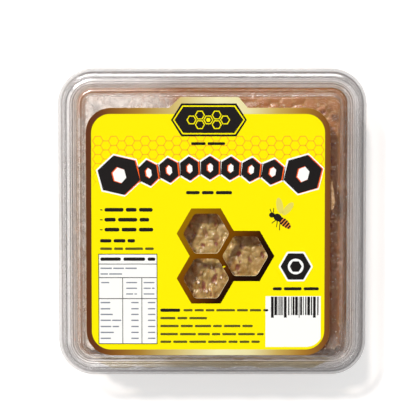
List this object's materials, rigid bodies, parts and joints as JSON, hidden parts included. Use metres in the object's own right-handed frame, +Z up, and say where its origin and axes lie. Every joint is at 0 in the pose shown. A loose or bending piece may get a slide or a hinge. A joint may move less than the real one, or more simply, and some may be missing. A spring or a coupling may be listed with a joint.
{
  "type": "boxed honeycomb",
  "caption": "Slab of capped honeycomb shut in a clear square tub with a push-on lid, under a printed label with hexagonal windows.",
  "frame": {"origin": "middle of the flat underside of the tub", "axes": "+Z up through the lid; +Y towards the edge of the label with the tab; +X towards the right of the label as it is read"},
  "size_m": [0.124, 0.124, 0.0299],
  "materials": {
    "tub_plastic": "clear food plastic, glossy, slightly grey at its edges",
    "lid_plastic": "clear food plastic, glossy, slightly hazy on its panel",
    "label_print": "printed label, satin, bright yellow with a gold and brown border",
    "comb_wax": "beeswax cappings wet with honey, tan with darker openings"
  },
  "bodies": {
    "root": {"tub": "tub_plastic", "lid": "lid_plastic", "label": "label_print", "comb": "comb_wax"}
  },
  "joints": []
}
